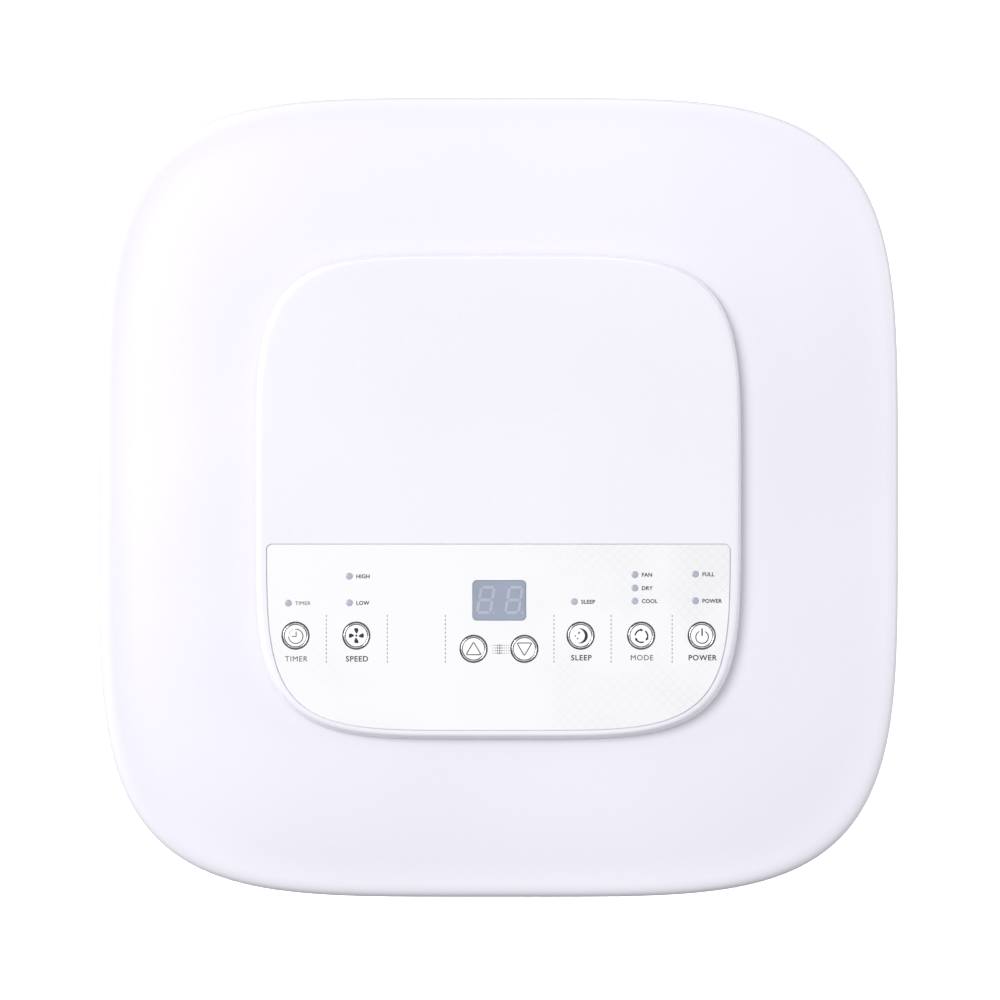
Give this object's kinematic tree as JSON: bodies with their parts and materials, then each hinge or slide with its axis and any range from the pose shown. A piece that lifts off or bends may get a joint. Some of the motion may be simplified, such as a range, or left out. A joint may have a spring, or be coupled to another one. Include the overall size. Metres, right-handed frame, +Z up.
{
  "type": "portable air conditioner with dehumidify mode",
  "caption": "Free-standing rounded-square room unit that cools, fans and dehumidifies, with a raised touch-key pod on top, a front louver, rear intakes, a hose collar and casters.",
  "frame": {"origin": "on the floor under the centre of the footprint", "axes": "+Z up, front with the louver toward -Y, +X to the right seen from the front"},
  "size_m": [0.355, 0.355, 0.6953],
  "materials": {
    "shell_white": "fine satin moulded plastic",
    "pod_white": "smooth moulded plastic",
    "film_white": "glossy printed overlay",
    "key_white": "smooth key caps",
    "window_grey": "grey-blue smoked window",
    "lamp_grey": "grey-blue light pipes",
    "dark_plastic": "dark moulded plastic",
    "duct_plastic": "foamed duct plastic",
    "board_green": "solder-masked board",
    "copper_tube": "drawn copper",
    "fin_aluminium": "bare fins",
    "galvanised": "galvanised sheet",
    "black_paint": "black enamel",
    "motor_steel": "motor case",
    "rubber_black": "soft rubber",
    "caster_grey": "nylon",
    "filter_mesh": "nylon mesh in a frame",
    "zinc": "zinc-plated screws"
  },
  "bodies": {
    "casing": {"top_cover": "shell_white", "control_pod": "pod_white", "control_film": "film_white", "display_lens": "window_grey", "indicator_leds": "lamp_grey", "control_board": "board_green", "front_panel": "shell_white", "side_panel_left": "shell_white", "side_panel_right": "shell_white", "rear_panel": "shell_white", "base_pan": "shell_white", "outlet_frame": "shell_white", "exhaust_collar": "shell_white", "cord_gland": "dark_plastic", "casing_screws": "zinc", "partition_tray": "duct_plastic", "evaporator_fins": "fin_aluminium", "evaporator_tubes": "copper_tube", "condenser_fins": "fin_aluminium", "condenser_tubes": "copper_tube", "upper_scroll": "duct_plastic", "upper_motor": "motor_steel", "lower_scroll": "duct_plastic", "lower_motor": "motor_steel", "compressor": "black_paint", "compressor_grommets": "rubber_black", "refrigerant_pipes": "copper_tube", "electrical_box": "galvanised", "float_stem": "dark_plastic", "intake_grille_lower": "shell_white"},
    "button_timer": {"button_timer": "key_white"},
    "button_speed": {"button_speed": "key_white"},
    "button_up": {"button_up": "key_white"},
    "button_down": {"button_down": "key_white"},
    "button_sleep": {"button_sleep": "key_white"},
    "button_mode": {"button_mode": "key_white"},
    "button_power": {"button_power": "key_white"},
    "louver": {"louver": "shell_white"},
    "vane_1": {"vane_1": "shell_white"},
    "vane_2": {"vane_2": "shell_white"},
    "vane_3": {"vane_3": "shell_white"},
    "vane_4": {"vane_4": "shell_white"},
    "vane_5": {"vane_5": "shell_white"},
    "vane_link": {"vane_link": "dark_plastic"},
    "upper_fan": {"upper_fan": "dark_plastic"},
    "lower_fan": {"lower_fan": "dark_plastic"},
    "upper_intake": {"intake_grille_upper": "shell_white", "filter_upper": "filter_mesh"},
    "drain_plug_upper": {"drain_plug_upper": "rubber_black"},
    "drain_plug_lower": {"drain_plug_lower": "rubber_black"},
    "water_float": {"water_float": "film_white"},
    "swivel_front_left": {"caster_swivel_front_left": "caster_grey"},
    "wheels_front_left": {"caster_wheels_front_left": "caster_grey"},
    "swivel_front_right": {"caster_swivel_front_right": "caster_grey"},
    "wheels_front_right": {"caster_wheels_front_right": "caster_grey"},
    "swivel_rear_left": {"caster_swivel_rear_left": "caster_grey"},
    "wheels_rear_left": {"caster_wheels_rear_left": "caster_grey"},
    "swivel_rear_right": {"caster_swivel_rear_right": "caster_grey"},
    "wheels_rear_right": {"caster_wheels_rear_right": "caster_grey"}
  },
  "joints": [
    {"name": "timer_press", "type": "slide", "parent": "casing", "child": "button_timer", "axis": [0, 0, -1], "range_m": [0, 0.0005], "stiffness_N_per_m": 4000},
    {"name": "speed_press", "type": "slide", "parent": "casing", "child": "button_speed", "axis": [0, 0, -1], "range_m": [0, 0.0005], "stiffness_N_per_m": 4000},
    {"name": "up_press", "type": "slide", "parent": "casing", "child": "button_up", "axis": [0, 0, -1], "range_m": [0, 0.0005], "stiffness_N_per_m": 4000},
    {"name": "down_press", "type": "slide", "parent": "casing", "child": "button_down", "axis": [0, 0, -1], "range_m": [0, 0.0005], "stiffness_N_per_m": 4000},
    {"name": "sleep_press", "type": "slide", "parent": "casing", "child": "button_sleep", "axis": [0, 0, -1], "range_m": [0, 0.0005], "stiffness_N_per_m": 4000},
    {"name": "mode_press", "type": "slide", "parent": "casing", "child": "button_mode", "axis": [0, 0, -1], "range_m": [0, 0.0005], "stiffness_N_per_m": 4000},
    {"name": "power_press", "type": "slide", "parent": "casing", "child": "button_power", "axis": [0, 0, -1], "range_m": [0, 0.0005], "stiffness_N_per_m": 4000},
    {"name": "louver_tilt", "type": "hinge", "parent": "casing", "child": "louver", "pos_m": [0, -0.154, 0.594], "axis": [1, 0, 0], "range_deg": [0, 75]},
    {"name": "vane_1_swing", "type": "hinge", "parent": "casing", "child": "vane_1", "pos_m": [-0.088, -0.108, 0.593], "axis": [0, 0, 1], "range_deg": [-35, 35]},
    {"name": "vane_2_swing", "type": "hinge", "parent": "casing", "child": "vane_2", "pos_m": [-0.044, -0.108, 0.593], "axis": [0, 0, 1], "range_deg": [-35, 35]},
    {"name": "vane_3_swing", "type": "hinge", "parent": "casing", "child": "vane_3", "pos_m": [0, -0.108, 0.593], "axis": [0, 0, 1], "range_deg": [-35, 35]},
    {"name": "vane_4_swing", "type": "hinge", "parent": "casing", "child": "vane_4", "pos_m": [0.044, -0.108, 0.593], "axis": [0, 0, 1], "range_deg": [-35, 35]},
    {"name": "vane_5_swing", "type": "hinge", "parent": "casing", "child": "vane_5", "pos_m": [0.088, -0.108, 0.593], "axis": [0, 0, 1], "range_deg": [-35, 35]},
    {"name": "link_pivot", "type": "hinge", "parent": "vane_1", "child": "vane_link", "pos_m": [-0.088, -0.098, 0.5915], "axis": [0, 0, 1], "range_deg": [-35, 35]},
    {"name": "upper_fan_spin", "type": "hinge", "parent": "casing", "child": "upper_fan", "pos_m": [0, 0.054, 0.512], "axis": [0, 1, 0], "continuous": true},
    {"name": "lower_fan_spin", "type": "hinge", "parent": "casing", "child": "lower_fan", "pos_m": [0.04, 0.054, 0.18], "axis": [0, 1, 0], "continuous": true},
    {"name": "upper_intake_pull", "type": "slide", "parent": "casing", "child": "upper_intake", "axis": [0, 1, 0], "range_m": [0, 0.06]},
    {"name": "drain_plug_upper_pull", "type": "slide", "parent": "casing", "child": "drain_plug_upper", "axis": [0, 1, 0], "range_m": [0, 0.025]},
    {"name": "drain_plug_lower_pull", "type": "slide", "parent": "casing", "child": "drain_plug_lower", "axis": [0, 1, 0], "range_m": [0, 0.025]},
    {"name": "water_float_rise", "type": "slide", "parent": "casing", "child": "water_float", "axis": [0, 0, 1], "range_m": [0, 0.01]},
    {"name": "swivel_front_left", "type": "hinge", "parent": "casing", "child": "swivel_front_left", "pos_m": [-0.112, -0.112, 0.055], "axis": [0, 0, 1], "continuous": true},
    {"name": "roll_front_left", "type": "hinge", "parent": "swivel_front_left", "child": "wheels_front_left", "pos_m": [-0.112, -0.098, 0.02], "axis": [1, 0, 0], "continuous": true},
    {"name": "swivel_front_right", "type": "hinge", "parent": "casing", "child": "swivel_front_right", "pos_m": [0.112, -0.112, 0.055], "axis": [0, 0, 1], "continuous": true},
    {"name": "roll_front_right", "type": "hinge", "parent": "swivel_front_right", "child": "wheels_front_right", "pos_m": [0.112, -0.098, 0.02], "axis": [1, 0, 0], "continuous": true},
    {"name": "swivel_rear_left", "type": "hinge", "parent": "casing", "child": "swivel_rear_left", "pos_m": [-0.112, 0.112, 0.055], "axis": [0, 0, 1], "continuous": true},
    {"name": "roll_rear_left", "type": "hinge", "parent": "swivel_rear_left", "child": "wheels_rear_left", "pos_m": [-0.112, 0.126, 0.02], "axis": [1, 0, 0], "continuous": true},
    {"name": "swivel_rear_right", "type": "hinge", "parent": "casing", "child": "swivel_rear_right", "pos_m": [0.112, 0.112, 0.055], "axis": [0, 0, 1], "continuous": true},
    {"name": "roll_rear_right", "type": "hinge", "parent": "swivel_rear_right", "child": "wheels_rear_right", "pos_m": [0.112, 0.126, 0.02], "axis": [1, 0, 0], "continuous": true}
  ],
  "couplings": [
    {"joint": "vane_2_swing", "follows": "vane_1_swing", "ratio": 1},
    {"joint": "vane_3_swing", "follows": "vane_1_swing", "ratio": 1},
    {"joint": "vane_4_swing", "follows": "vane_1_swing", "ratio": 1},
    {"joint": "vane_5_swing", "follows": "vane_1_swing", "ratio": 1},
    {"joint": "link_pivot", "follows": "vane_1_swing", "ratio": -1}
  ]
}
